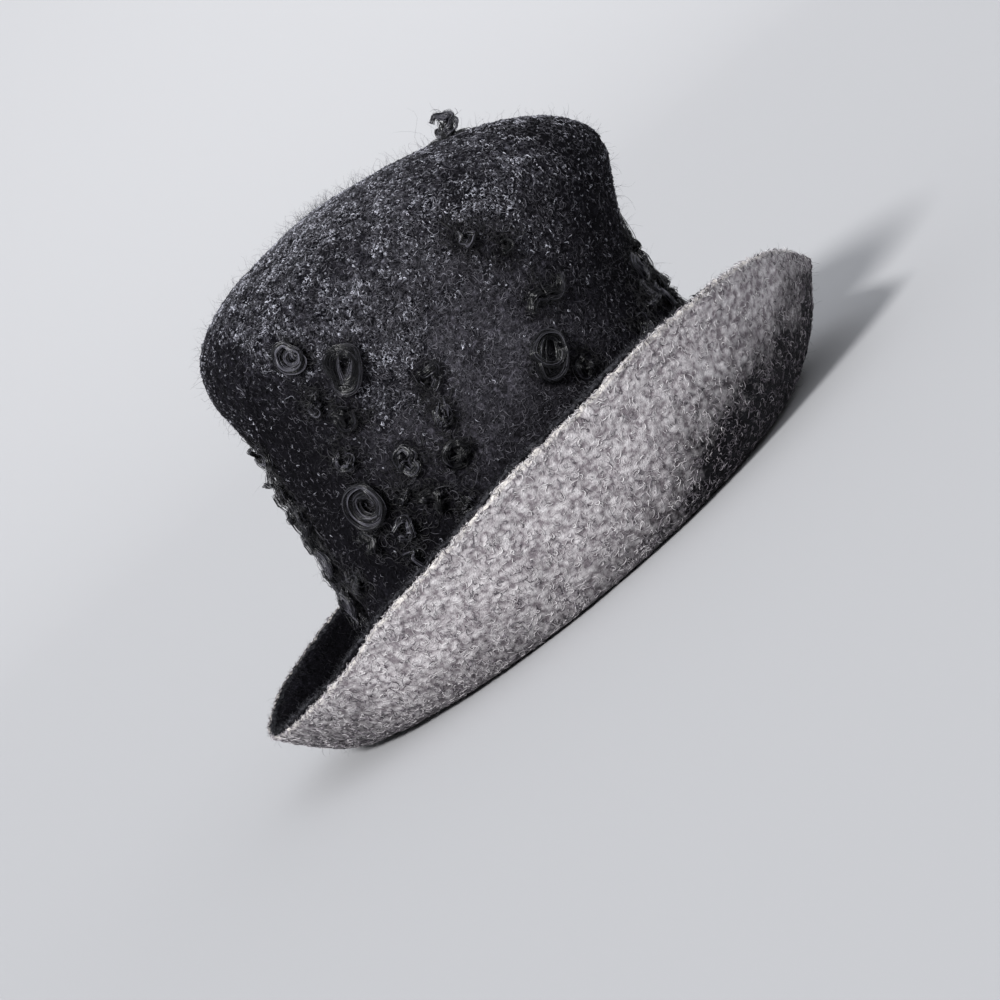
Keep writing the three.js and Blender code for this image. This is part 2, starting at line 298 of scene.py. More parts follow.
def cad_tree(*names):
    """A search tree over the surfaces of CAD nodes."""
    vertices, faces = [], []
    for name in names:
        mesh = NODES[name].data
        start = len(vertices)
        vertices += [v.co.copy() for v in mesh.vertices]
        faces += [[start + i for i in p.vertices] for p in mesh.polygons]
    return BVHTree.FromPolygons(vertices, faces)


def felt_shell(node, hidden_by, cuts, rim=False):
    """The node's shell, rounded off, with its faces that show divided finely and the side that
    lies against another layer left plain. Returns the mesh and how much each vertex shows."""
    bm = bmesh.new()
    bm.from_mesh(NODES[node].data)
    bmesh.ops.remove_doubles(bm, verts=bm.verts, dist=0.01 * MM)
    bmesh.ops.join_triangles(
        bm, faces=bm.faces, angle_face_threshold=0.9, angle_shape_threshold=3.1)
    coarse = bpy.data.meshes.new(node + "_coarse")
    bm.to_mesh(coarse)
    bm.free()
    holder = bpy.data.objects.new(node + "_coarse", coarse)
    bpy.context.scene.collection.objects.link(holder)
    rounding = holder.modifiers.new("rounding", "SUBSURF")
    rounding.levels = 2
    depsgraph = bpy.context.evaluated_depsgraph_get()
    bm = bmesh.new()
    bm.from_object(holder, depsgraph)
    bpy.data.objects.remove(holder)

    neighbour = cad_tree(*hidden_by)
    middles = [f.calc_center_median() for f in bm.faces]
    near_rim = rim_drop(np.array(middles)) < 3 * MM if rim else np.zeros(len(middles), bool)
    shown = [f for f, middle, at_rim in zip(bm.faces, middles, near_rim)
             if at_rim or neighbour.find_nearest(middle)[3] > 0.9 * MM]
    edges = list({e for f in shown for e in f.edges})
    bmesh.ops.subdivide_edges(bm, edges=edges, cuts=cuts, use_grid_fill=True)
    mesh = bpy.data.meshes.new(node + "_felt")
    for face in bm.faces:
        face.smooth = True
    bm.to_mesh(mesh)
    bm.free()
    away = np.array([neighbour.find_nearest(v.co)[3] for v in mesh.vertices])
    return mesh, ramp(away, 0.5 * MM, 1.4 * MM)


def raise_grain(mesh, height):
    """Moves each vertex out along its normal by its height."""
    place_vertices(mesh, coordinates(mesh) + normals(mesh) * height[:, None])
    mesh.update()


def shift_up(mesh, rise):
    """Moves each vertex up by its own amount."""
    co = coordinates(mesh)
    co[:, 2] += rise
    place_vertices(mesh, co)
    mesh.update()


def keep(mesh, name, values):
    """Stores a value for each vertex, for the material to read."""
    layer = mesh.attributes.new(name, "FLOAT", "POINT")
    layer.data.foreach_set("value", values.astype(np.float32))


def dark_grain(co):
    """Height and lightness of the bouclé nubs of the dark felt; the lightness is partly a painted
    highlight on their tops.
    """
    rough = ramp(cloud(co, 45 * MM, 2, 3.0), -0.45, 0.25) * 0.75 + 0.25
    nubs = pebbles(co, 3.1 * MM) * 0.6 + pebbles(co, 1.7 * MM, 5.0) * 0.4
    height = (nubs * 0.85 * rough + 0.45 * cloud(co, 14 * MM, 2, 9.0)) * MM
    return height, nubs * rough


def pale_grain(co):
    """Height and lightness of the pebbly grain of the pale felt."""
    nubs = pebbles(co * [1, 1, 1.25], 4.2 * MM, 2.0) * 0.65 + pebbles(co, 2.0 * MM, 8.0) * 0.35
    height = (nubs * 0.75 + 0.6 * cloud(co, 18 * MM, 2, 4.0)) * MM
    return height, nubs


def near(points, place, size):
    """1 at a place, given in millimetres, and fading to nothing round it."""
    return np.exp(-(((points / MM - np.array(place)) / size) ** 2).sum(1))


def silk_share(points):
    """How thickly the silk lies on the crown: most over the top and the front shoulder, with a
    tongue of it down each side, little on the front face, at the back and low on the walls.
    It fades out under and round the locks as painted shadow."""
    x, y, z = points.T / MM
    z = z - 60 * ramp(-x, 38, 72)
    upper = ramp(z, 122, 172)
    tongue = np.exp(-((x + 9) / 24) ** 2) * ramp(z, 104, 124)
    back = 1 - 0.8 * ramp(x, 15, 105)
    drift = (0.45 + 0.8 * ramp(cloud(points, 22 * MM, 2, 12.0), -0.5, 0.35)) * (
        0.3 + 1.1 * ramp(cloud(points, 7 * MM, 2, 13.0), -0.45, 0.4))
    knots = sum(near(points, place, 6.5) for place in SILK_KNOTS)
    share = np.maximum(upper, tongue) * back + 0.03 + 0.08 * ramp(z, 70, 130) + 0.25 * tongue
    return np.clip((share * drift + knots) * painted_lock_shadow(points), 0, 1)


def painted_lock_shadow(points):
    """Painted shadow round the locks: 0 under them, rising to 1 a few millimetres away."""
    gap = np.full(len(points), 1.0)
    for node in LOCKS:
        for place in centre_line(node)[0]:
            gap = np.minimum(gap, np.linalg.norm(points - place, axis=1))
    return ramp(gap, 3.5 * MM, 7.5 * MM)


def haze_share(points):
    """Where fine pale wool greys the dark felt: the middle of each side, with less of it round the
    locks as painted shadow.
    """
    x, y, z = points.T / MM
    middle = np.exp(-((x - 18) / 48) ** 2) * ramp(np.abs(y), 30, 70)
    return middle * ramp(z, 52, 112) * (1 - 0.7 * ramp(z, 150, 185)) * (
        0.75 + 0.4 * cloud(points, 20 * MM, 2, 15.0)) * (0.3 + 0.7 * painted_lock_shadow(points))


def ragged(mesh, drop):
    """Makes the cut edge of a brim layer uneven, and rounds off its tip at the back."""
    co = coordinates(mesh)
    co[:, 2] -= TIP_DROP * ramp(co[:, 0], 157 * MM, 172 * MM) * ramp(-drop, -25 * MM, 0)
    edge = ramp(UNEVEN_EDGE * 1.5 - drop, 0, UNEVEN_EDGE)
    co[:, 2] += edge * (0.6 * cloud(co, 9 * MM, 2, 21.0) + 0.7 * cloud(co, 3.2 * MM, 2, 22.0)
                        + 0.3 * cloud(co, 1.4 * MM, 1, 23.0)) * MM
    place_vertices(mesh, co)


def crown_outside(material):
    """The crown's dark layer, nubby and thicker where silk lies on it."""
    mesh, shows = felt_shell("crown_outer_felt", ["crown_inner_felt"], 3)
    co = coordinates(mesh)
    silk = silk_share(co)
    height, nub = dark_grain(co)
    raise_grain(mesh, height * shows * (0.7 + 0.5 * silk))
    foot = co[:, 2].min()
    shift_up(mesh, (ramp(co[:, 2], foot, foot + JOINT_BLEND) - 1) * JOINT_OVERLAP)
    keep(mesh, "nub", nub)
    keep(mesh, "silk", silk)
    keep(mesh, "haze", haze_share(co))
    keep(mesh, "lip", np.zeros(len(nub)))
    piece = new_piece("crown_dark_felt", mesh, material)
    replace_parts(piece, "crown_outer_felt")
    return Felt(piece, shows)


def crown_inside(material):
    """The crown's pale layer."""
    mesh, shows = felt_shell("crown_inner_felt", ["crown_outer_felt"], 1)
    height, nub = pale_grain(coordinates(mesh))
    raise_grain(mesh, height * shows * 0.6)
    keep(mesh, "nub", nub)
    keep(mesh, "dark_wool_and_painted_shade", np.zeros(len(nub)))
    keep(mesh, "lip", np.zeros(len(nub)))
    piece = new_piece("crown_pale_felt", mesh, material)
    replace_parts(piece, "crown_inner_felt")


def brim_top(material):
    """The brim's dark layer, which ends lower than the pale one except on the left."""
    mesh, shows = felt_shell("brim_upper_felt", ["brim_under_felt"], 2, rim=True)
    height, nub = dark_grain(coordinates(mesh))
    raise_grain(mesh, height * shows)
    crown = cad_tree("crown_outer_felt")
    away = np.array([crown.find_nearest(v.co)[3] for v in mesh.vertices])
    shift_up(mesh, ramp(-away, -JOINT_BLEND, -0.3 * MM) * JOINT_OVERLAP)
    co = coordinates(mesh)
    drop = rim_drop(co)
    turn = np.degrees(np.arctan2(co[:, 1] - CENTRE.y, co[:, 0] - CENTRE.x)) % 360
    left = ramp(turn, 176, 205) * (1 - ramp(turn, 290, 325))
    co[:, 2] -= DARK_STANDS_BACK * (1 - left) * ramp(8 * MM - drop, 0, 8 * MM)
    place_vertices(mesh, co)
    ragged(mesh, drop)
    keep(mesh, "nub", nub)
    keep(mesh, "silk", np.clip(0.08 + near(co, (-150, -10, 36), 18), 0, 1))
    keep(mesh, "haze", np.zeros(len(nub)))
    keep(mesh, "lip", ramp(2.2 * MM - drop, 0, 1.2 * MM))
    piece = new_piece("brim_dark_felt", mesh, material)
    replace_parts(piece, "brim_upper_felt")
    return Felt(piece, shows)


def brim_underside(material):
    """The brim's pale layer, plain on the ring that the hat rests on."""
    mesh, shows = felt_shell("brim_under_felt", ["brim_upper_felt"], 3, rim=True)
    co = coordinates(mesh)
    height, nub = pale_grain(co)
    off_floor = ramp(co[:, 2], 0, 4 * MM)
    raise_grain(mesh, height * shows * off_floor)
    co = coordinates(mesh)
    drop = rim_drop(co)
    ragged(mesh, drop)
    keep(mesh, "nub", nub)
    # Darkening mask, partly dark wool and partly painted shade; the painted highlight on the cut
    # edge fades where it is shaded.
    keep(mesh, "dark_wool_and_painted_shade", dark_wool_and_painted_shade(co))
    keep(mesh, "lip", ramp(2.7 * MM - drop, 0, 1.2 * MM) * (1 - 0.6 * dark_wool_and_painted_shade(co)))
    piece = new_piece("brim_pale_felt", mesh, material)
    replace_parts(piece, "brim_under_felt")
    return Felt(piece, shows)


def dark_wool_and_painted_shade(points):
    """Where the pale underside is darkened, partly by dark wool blended into it and partly by
    painted shade: low round the back, and at the fold.
    """
    x, y, z = points.T / MM
    border = 12 + 17 * ramp(x, 30, 95) + 12 * ramp(x, 135, 170) + 24 * ramp(-x, 100, 150)
    depth = border - z + 8 * cloud(points, 18 * MM, 3, 6.0) + 5 * cloud(points, 3 * MM, 2, 7.0)
    return np.clip((depth + 20) / 40, 0, 1) * (0.45 + 0.55 * ramp(x, -10, 90))


# -------------------------------------------------------------------------------------- fibres

def tubes(name, paths, radii, tones, material):
    """One mesh of many fine fibres, three-sided: paths is fibres x steps x 3, radii fibres x steps
    and tones one value for each fibre, for the material to read."""
    paths[..., 2] = np.maximum(paths[..., 2], LOW.z + radii + 0.1 * MM)
    along = unit(np.gradient(paths, axis=1))
    aside = unit(np.cross(along, np.roll([0.31, 0.52, 0.8], 1)))
    above = np.cross(along, aside)
    rings = []
    for k in range(3):
        angle = 2 * math.pi * k / 3
        rings.append(paths + radii[..., None] * (math.cos(angle) * aside + math.sin(angle) * above))
    rings = np.stack(rings, axis=2)
    fibres, steps = paths.shape[:2]
    index = np.arange(fibres * steps * 3).reshape(fibres, steps, 3)
    a, b = index[:, :-1], index[:, 1:]
    quads = np.stack([a, np.roll(a, -1, 2), np.roll(b, -1, 2), b], axis=-1).reshape(-1, 4)
    mesh = bpy.data.meshes.new(name)
    mesh.vertices.add(fibres * steps * 3)
    place_vertices(mesh, rings)
    mesh.loops.add(quads.size)
    mesh.loops.foreach_set("vertex_index", quads.astype(np.int32).ravel())
    mesh.polygons.add(len(quads))
    mesh.polygons.foreach_set("loop_start", np.arange(0, quads.size, 4, dtype=np.int32))
    mesh.polygons.foreach_set("use_smooth", np.ones(len(quads), bool))
    mesh.update(calc_edges=True)
    keep(mesh, "tone", np.repeat(tones, steps * 3))
    return new_piece(name, mesh, material)


def frames(along):
    """Two unit directions square to each direction and to each other."""
    helper = np.where(np.abs(along[..., 2:]) < 0.8, [0.0, 0.0, 1.0], [1.0, 0.0, 0.0])
    first = unit(np.cross(helper, along))
    return first, np.cross(along, first)


def taper(steps, blunt=0.35):
    """Thin at both ends, 1 in the middle."""
    s = np.linspace(0, 1, steps)
    return blunt + (1 - blunt) * np.sin(math.pi * s) ** 0.6


def sites(felt, weight, count, rng):
    """Random places on a felt surface, more of them where its weight is greater."""
    picked = rng.choice(len(weight), count, p=weight / weight.sum())
    u, v = frames(felt.normals[picked])
    shift = rng.uniform(-0.5, 0.5, (2, count, 1)) * MM
    return felt.points[picked] + u * shift[0] + v * shift[1], felt.normals[picked]


def wander(count, steps, length, curl, rng):
    """Flat curves round the origin: each turns steadily by its curl and wavers a little."""
    s = np.linspace(0, 1, steps)
    heading = rng.uniform(-math.pi, math.pi, (count, 1))
    sign = rng.choice([-1, 1], (count, 1))
    waver = rng.uniform(0.2, 0.9, (count, 1)) * np.sin(
        2 * math.pi * (rng.uniform(0.6, 1.8, (count, 1)) * s + rng.uniform(0, 1, (count, 1))))
    angle = heading + sign * rng.uniform(*curl, (count, 1)) * (s - 0.5) + waver
    pace = rng.uniform(*length, (count, 1)) / (steps - 1)
    flat = np.stack([np.cumsum(np.cos(angle) * pace, 1), np.cumsum(np.sin(angle) * pace, 1)], -1)
    return flat - flat.mean(1, keepdims=True)


def lying(felt, weight, count, steps, length, curl, rng, lift, loft, snap=False):
    """Paths of fibres that lie on a felt surface, `lift` off it and up to `loft` more midway.
    With `snap` each step follows the surface, which longer fibres need."""
    at, out = sites(felt, weight, count, rng)
    u, v = frames(out)
    flat = wander(count, steps, length, curl, rng)
    paths = at[:, None] + u[:, None] * flat[..., :1] + v[:, None] * flat[..., 1:]
    out = np.repeat(out[:, None], steps, 1)
    if snap:
        for i in np.ndindex(count, steps):
            place, normal, _, _ = felt.tree.find_nearest(Vector(paths[i]))
            paths[i], out[i] = place, normal
    rise = lift + loft * rng.uniform(0.2, 1, (count, 1)) * np.sin(
        math.pi * np.linspace(0, 1, steps))
    return paths + out * rise[..., None]


def standing(felt, weight, count, steps, length, rng):
    """Paths of loose hairs that stand off a felt surface and bend over."""
    at, out = sites(felt, weight, count, rng)
    u, v = frames(out)
    turn = rng.uniform(0, 2 * math.pi, (count, 1))
    aside = u * np.cos(turn) + v * np.sin(turn)
    s = np.linspace(0, 1, steps)
    reach = rng.uniform(*length, (count, 1))
    bend = rng.uniform(0.3, 1.8, (count, 1))
    up = reach * np.sin(bend * s) / bend - 0.3 * MM
    over = reach * (1 - np.cos(bend * s)) / bend
    swing = reach * 0.12 * np.sin(2 * math.pi * s * rng.uniform(0.5, 1.2, (count, 1)))
    across = np.cross(out, aside)
    return (at[:, None] + out[:, None] * up[..., None] + aside[:, None] * over[..., None]
            + across[:, None] * swing[..., None])


class Felt:
    """A finished felt surface, ready for fibres to be laid on it."""

    def __init__(self, piece, shows):
        mesh = piece.data
        self.points = coordinates(mesh)
        self.normals = normals(mesh)
        self.shows = np.asarray(shows)
        vertices = [Vector(p) for p in self.points]
        self.tree = BVHTree.FromPolygons(vertices, [list(f.vertices) for f in mesh.polygons])


# --------------------------------------------------------------------- silk, wool and loose hair

def crown_silk(felt, material):
    """Tight little curls of silk, brightest where it was laid on in knots."""
    rng = np.random.default_rng(3)
    count, steps = 36000, 6
    weight = silk_share(felt.points) * felt.shows
    paths = lying(felt, weight, count, steps, (0.9 * MM, 3.4 * MM), (1.5, 7.5), rng,
                  0.1 * MM, 0.7 * MM)
    radii = taper(steps) * rng.uniform(0.09, 0.27, (count, 1)) * MM
    bright = 0.5 * cloud(paths[:, 3], 6 * MM, 2, 31.0) + 0.6 * sum(
        near(paths[:, 3], place, 6) for place in SILK_KNOTS)
    tones = np.clip(rng.beta(1.2, 1.9, count) + bright, 0, 1)
    tubes("crown_silk", paths, radii, tones, material)


def crown_nap(felt, material):
    """The short, tight wool of the felt itself, its tone patchy at random and lighter towards the
    back as painted fill light.
    """
    rng = np.random.default_rng(4)
    count = 34000
    paths = lying(felt, felt.shows + 1e-6, count, 6, (1.2 * MM, 4.5 * MM), (0.5, 6.0), rng,
                  0.1 * MM, 0.5 * MM)
    radii = taper(6) * rng.uniform(0.08, 0.17, (count, 1)) * MM
    x, _, z = paths[:, 3].T / MM
    # Patchy tone at random, a lighter tone towards the back that is painted fill light on the side
    # the key lamp leaves in shade, and a little lighter low at the front.
    patchy_and_painted_fill = (0.3 * cloud(paths[:, 3], 9 * MM, 2, 33.0) + 0.25 * ramp(x, 35, 85)
              + 0.15 * ramp(-x, 10, 50) * ramp(-z, -150, -120))
    tubes("crown_nap", paths, radii, np.clip(rng.beta(1.0, 2.2, count) + patchy_and_painted_fill, 0, 1), material)


def crown_haze(felt, material):
    """Fine pale wool felted flat into the middle of each side."""
    rng = np.random.default_rng(15)
    count = 16000
    weight = haze_share(felt.points) * felt.shows + 1e-9
    paths = lying(felt, weight, count, 8, (2 * MM, 6 * MM), (0.5, 5.0), rng,
                  0.1 * MM, 0.45 * MM)
    radii = taper(8) * rng.uniform(0.06, 0.13, (count, 1)) * MM
    tubes("crown_haze", paths, radii, rng.beta(1.2, 2.0, count), material)


def brim_nap(felt, material):
    """Wool on the inside of the turned-up brim."""
    rng = np.random.default_rng(14)
    count = 9000
    paths = lying(felt, felt.shows + 1e-6, count, 6, (2 * MM, 6 * MM), (0.5, 5.0), rng,
                  0.1 * MM, 0.7 * MM)
    radii = taper(6) * rng.uniform(0.09, 0.22, (count, 1)) * MM
    tubes("brim_nap", paths, radii, 0.6 * rng.beta(1.0, 3.2, count), material)


def silk_threads(felt, material):
    """Longer pale threads of silk, here and there, crinkled as they felted."""
    rng = np.random.default_rng(5)
    z = felt.points[:, 2] / MM
    weight = felt.shows * ramp(z, 80, 120) * (1 - 0.6 * ramp(z, 150, 180))
    count, steps = 120, 24
    paths = lying(felt, weight, count, steps, (4 * MM, 12 * MM), (0.5, 3.5), rng,
                  0.3 * MM, 0.2 * MM, snap=True)
    wave = np.sin(np.linspace(0, 1, steps) * rng.uniform(12, 22, (count, 1))
                  + rng.uniform(0, 6, (count, 1)))
    paths += 0.4 * MM * wave[..., None] * unit(rng.normal(size=(count, 1, 3)))
    radii = taper(steps) * rng.uniform(0.07, 0.13, (count, 1)) * MM
    tubes("silk_threads", paths, radii, rng.uniform(0.4, 0.9, count), material)


def loose_hair(name, felt, weight, count, length, material, seed):
    """Single hairs that stand off a felt surface, more of them where its weight is greater."""
    rng = np.random.default_rng(seed)
    paths = standing(felt, weight + 1e-9, count, 7, length, rng)
    radii = np.linspace(1, 0.35, 7) * rng.uniform(0.035, 0.07, (count, 1)) * MM
    tubes(name, paths, radii, rng.uniform(0, 1, count), material)


def underside_wool(felt, material):
    """Fibres felted into the pale underside, darker low round the back, partly as dark wool and
    partly as painted shade.
    """
    rng = np.random.default_rng(8)
    count = 24000
    weight = felt.shows * ramp(felt.points[:, 2] / MM, 0.5, 3) + 1e-9
    paths = lying(felt, weight, count, 7, (2 * MM, 6 * MM), (0.5, 5.0), rng,
                  0.02 * MM, 0.45 * MM)
    radii = taper(7) * rng.uniform(0.07, 0.24, (count, 1)) * MM
    # Tones darkened by the mask of dark wool and painted shade.
    tones = rng.beta(1.3, 1.1, count) * (1 - dark_wool_and_painted_shade(paths[:, 3]) ** 0.7 * rng.uniform(0.5, 1, count))
    tubes("underside_wool", paths, radii, tones, material)


# -------------------------------------------------------------------------------------- locks

def centre_line(node):
    """The middle of a lock's tube, from tip to tip, and the tube's radius there."""
    bm = bmesh.new()
    bm.from_mesh(NODES[node].data)
    bmesh.ops.remove_doubles(bm, verts=bm.verts, dist=0.01 * MM)
    bm.verts.index_update()
    for tip in bm.verts:
        rings, seen = [[tip]], {tip}
        while rings[-1]:
            beyond = {e.other_vert(v) for v in rings[-1] for e in v.link_edges} - seen
            rings.append(sorted(beyond, key=lambda v: v.index))
            seen |= beyond
        rings.pop()
        if len(rings[-1]) == 1 and len({len(ring) for ring in rings[1:-1]}) == 1:
            break
    middles = [sum((v.co for v in ring), Vector()) / len(ring) for ring in rings]
    widths = [(ring[0].co - middle).length for ring, middle in zip(rings, middles)]
    line = np.array([list(m) for m in middles])
    bm.free()
    return line, np.array(widths)


def smooth_line(points, count):
    """A curve through points, as this many points."""
    padded = np.vstack([2 * points[0] - points[1], points, 2 * points[-1] - points[-2]])
    out = []
    for s in np.linspace(0, len(points) - 1.0001, count):
        i, t = int(s), s % 1
        a, b, c, d = padded[i:i + 4]
        out.append(0.5 * (2 * b + (c - a) * t + (2 * a - 5 * b + 4 * c - d) * t ** 2
                          + (3 * b - a - 3 * c + d) * t ** 3))
    return np.array(out)


def wind_in(line, widths, out, turn, shrink):
    """Carries a lock that makes nearly a full loop on into its own middle, as a spiral."""
    middle = line.mean(0)
    arms = line - middle
    turning = np.cross(arms[:-1], arms[1:]).sum(0)
    gap = np.linalg.norm(line[0] - line[-1])
    if gap > 1.1 * np.linalg.norm(arms, axis=1).mean():
        return line, widths
    axis = Vector(unit(turning))
    steps = 9
    more, arm = [], Vector(arms[-1])
    for k in range(1, steps + 1):
        turned = Matrix.Rotation(math.radians(turn) * k, 3, axis) @ arm
        shrunk = turned * (1 - shrink * k / steps)
        more.append(middle + arms[0] * 0.35 * k / steps + np.array(shrunk) + out * 0.12 * MM * k)
    widths = np.concatenate([widths[:-1], [widths[-2]], np.linspace(0.8, 0.3, steps) * widths[-2]])
    return np.vstack([line, more]), widths


def curl_lock(node, felt, material, number):
    """A lock of glossy wool: clumps of strands that wind side by side along the lock's line."""
    rng = np.random.default_rng(100 + number)
    line, widths = centre_line(node)
    out = np.array(felt.tree.find_nearest(Vector(line.mean(0)))[1])
    size = widths.max()
    tuft = node == TUFT
    small = size < 1.75 * MM
    if not small or rng.uniform() < 0.4:
        line, widths = wind_in(line, widths, out, rng.uniform(34, 52), rng.uniform(0.6, 0.85))
    loose = 0.95 * MM if small else 0.35 * MM
    line = line + loose * rng.normal(size=line.shape)
    steps = 4 * len(line)
    path = smooth_line(line, steps)
    width = np.interp(np.linspace(0, 1, steps), np.linspace(0, 1, len(widths)), widths)
    width = np.maximum(width, 0.4 * size) * (1.6 if tuft else 1)
    along = unit(np.gradient(path, axis=0))
    across = unit(np.cross(np.broadcast_to(out, along.shape), along))
    above = np.cross(along, across)
    clumps = 8
    count = 170 if tuft else int(np.clip(size / MM * 44, 54, 130))
    clump = rng.integers(0, clumps, count)
    s = np.linspace(0, 1, steps)
    # Each strand covers its own part of the lock.
    starts, stops = rng.uniform(-0.2, 0.5, (count, 1)), rng.uniform(0.55, 1.2, (count, 1))
    place = np.clip(starts + (stops - starts) * s, 0, 1) * (steps - 1)
    first = np.minimum(place.astype(int), steps - 2)
    past = (place - first)[..., None]

    def along_lock(rows):
        """The lock's own values, where each strand runs."""
        return rows[first] * (1 - past) + rows[first + 1] * past

    def sway(k, amount):
        """Slow waves from side to side, one row for each of k clumps or strands."""
        return amount * np.sin(rng.uniform(3, 9, (k, 1)) * s + rng.uniform(0, 6.3, (k, 1)))

    def flick():
        """How each strand's end turns off its lock."""
        return rng.normal(0, 0.9, (count, 1)) * ramp(s, 0.65, 1) ** 2

    inside = np.linspace(-1.05, 1.05, clumps)[:, None] + sway(clumps, 0.3)
    height = rng.uniform(-0.8, 0.8, (clumps, 1)) + sway(clumps, 0.35)
    side = inside[clump] + rng.normal(0, 0.1, (count, 1)) + sway(count, 0.12) + flick()
    rise = height[clump] + rng.normal(0, 0.15, (count, 1)) + sway(count, 0.12) + flick()
    wide = along_lock(width[:, None])
    paths = (along_lock(path) + along_lock(across) * side[..., None] * wide
             + along_lock(above) * rise[..., None] * wide * 0.9)
    radii = taper(steps, 0.25) * rng.uniform(0.1, 0.21, (count, 1)) * MM
    # The tuft's strands are lifted as grey wool; those of the larger locks as a painted sheen.
    grey_wool_and_painted_sheen = 0.3 if tuft else 0 if small else 0.2
    tones = rng.beta(0.8, 1.3, clumps)[clump] + rng.normal(0, 0.15, count) + grey_wool_and_painted_sheen
    lock = tubes(node + "_wool", paths, radii, np.clip(tones, 0, 1), material)
    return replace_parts(lock, node)


def hanging_wool(name, felt, x, heights, clumps, lift, material, seed):
    """Long curly strands that hang down the crown in clumps, on the side that faces along x."""
    rng = np.random.default_rng(seed)
    steps, strands = 34, 24
    s = np.linspace(0, 1, steps)
    paths = []
    for _ in range(clumps):
        top = rng.uniform(*heights)
        drop = min(rng.uniform(18, 42), top - 32)
        side = rng.uniform(-26, 14)
        turns, radius = rng.uniform(1.4, 3.0), rng.uniform(0.9, 2.5)
        start = rng.uniform(0, 6.3)
        loosen = 0.55 + 0.45 * np.sin(rng.uniform(3, 8) * s + start)
        line = np.stack([np.full(steps, x * 120.0), side + 3 * np.sin(3 * s + start),
                         top - drop * s], -1) * MM
        for i in range(steps):
            place, normal, _, _ = felt.tree.find_nearest(Vector(line[i]))
            outward = np.array(normal)
            round_it = unit(np.cross(outward, [0, 0, 1.0]))
            angle = turns * 2 * math.pi * s[i] + 1.3 * math.sin(4 * s[i] + start) + start
            coil = radius * loosen[i]
            off = lift * (0.35 + 0.65 * math.sin(math.pi * min(1, s[i] * 1.2))) + coil * (
                1 + math.cos(angle))
            line[i] = np.array(place) + outward * off * MM + round_it * coil * MM * math.sin(angle)
        loose = rng.normal(0, 0.85, (strands, 1, 3)) * MM * (0.5 + 1.1 * s[:, None])
        waver = 0.55 * MM * np.sin(
            rng.uniform(6, 17, (strands, 1)) * s + rng.uniform(0, 6, (strands, 1)))
        paths.append(line + loose + waver[..., None] * unit(rng.normal(size=(strands, 1, 3))))
    paths = np.concatenate(paths)
    count = len(paths)
    radii = taper(steps, 0.25) * rng.uniform(0.08, 0.18, (count, 1)) * MM
    tubes(name, paths, radii, rng.beta(1, 1.3, count), material)


def bind_locks(felt, material):
    """Wool that ties each lock into the felt: wisps that lie round it, and roots up into it."""
    rng = np.random.default_rng(9)
    wisps, roots = [], []
    for node in LOCKS:
        line, widths = centre_line(node)
        away = np.linalg.norm(felt.points - line.mean(0), axis=1)
        weight = felt.shows * ramp(-away / MM, -15, -3) + 1e-12
        wisps.append(lying(felt, weight, 60, 14, (5 * MM, 16 * MM), (2, 8), rng,
                           0.2 * MM, 1.7 * MM, snap=True))
        bound, furthest_in = (90, 0.9) if node == TUFT else (18, 0.2)
        picked = rng.integers(1, len(line) - 1, bound)
        inward = rng.uniform(0, furthest_in, (bound, 1))
        ends = line[picked] * (1 - inward) + line.mean(0) * inward
        ends += rng.normal(0, 0.25, (bound, 3)) * widths[picked, None]
        for end in ends:
            under = np.array(felt.tree.find_nearest(Vector(end))[0])
            foot = felt.tree.find_nearest(Vector(under + rng.normal(0, 1.6, 3) * MM))[0]
            s = np.linspace(0, 1, 12)[:, None]
            sway = rng.normal(0, 1.2, 3) * MM * np.sin(math.pi * s)
            roots.append(np.array(foot) * (1 - s) + end * s + sway)
    for name, paths, size in (("felted_wisps", np.concatenate(wisps), (0.1, 0.2)),
                              ("lock_roots", np.array(roots), (0.12, 0.24))):
        count, steps = paths.shape[:2]
        radii = taper(steps) * rng.uniform(*size, (count, 1)) * MM
        tubes(name, paths, radii, rng.beta(1, 1.6, count), material)


# ----------------------------------------------------------------------------------- sweatband

